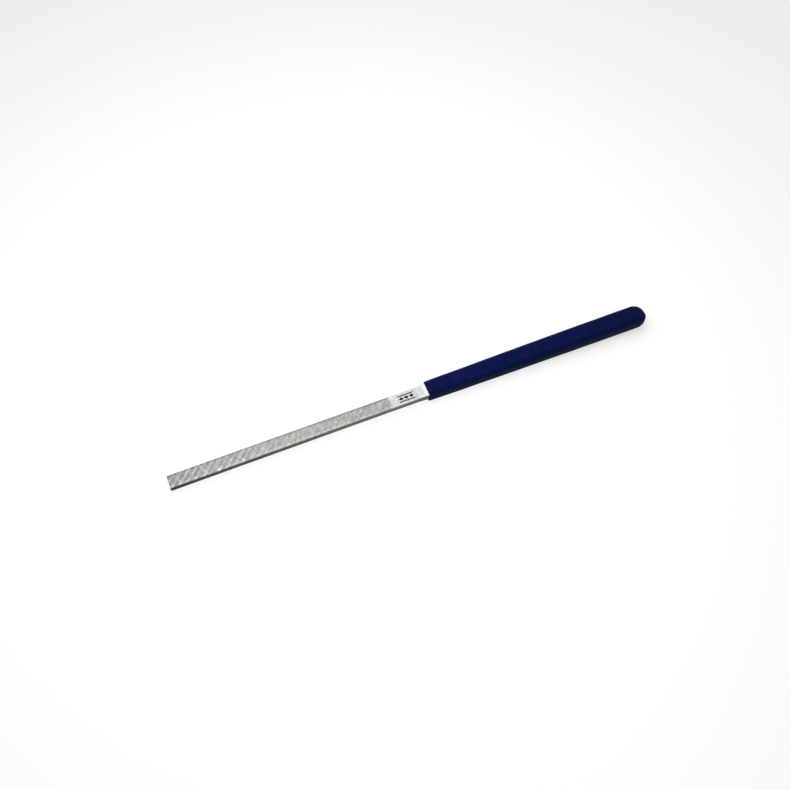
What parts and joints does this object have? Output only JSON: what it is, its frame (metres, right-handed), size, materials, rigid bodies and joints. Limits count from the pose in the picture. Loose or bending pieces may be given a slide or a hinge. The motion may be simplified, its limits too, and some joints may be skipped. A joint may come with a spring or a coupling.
{
  "type": "flat file",
  "caption": "Slim flat hand file for metalwork, with a toothed steel blade, a smooth heel and a dipped vinyl grip over the full-length tang.",
  "frame": {"origin": "centre of the bounding box, on the centre line of the steel bar, half way along the file", "axes": "+X along the file towards the tip, +Y across its width, +Z out of the upper toothed face"},
  "size_m": [0.215, 0.0094, 0.0064],
  "materials": {
    "file_steel": "hardened steel, double-cut teeth with a satin sheen, ground heel",
    "grip_vinyl": "dark blue dip-moulded soft vinyl, satin and slightly uneven"
  },
  "bodies": {
    "root": {"file_blade_and_tang": "file_steel", "grip_sleeve": "grip_vinyl"}
  },
  "joints": []
}
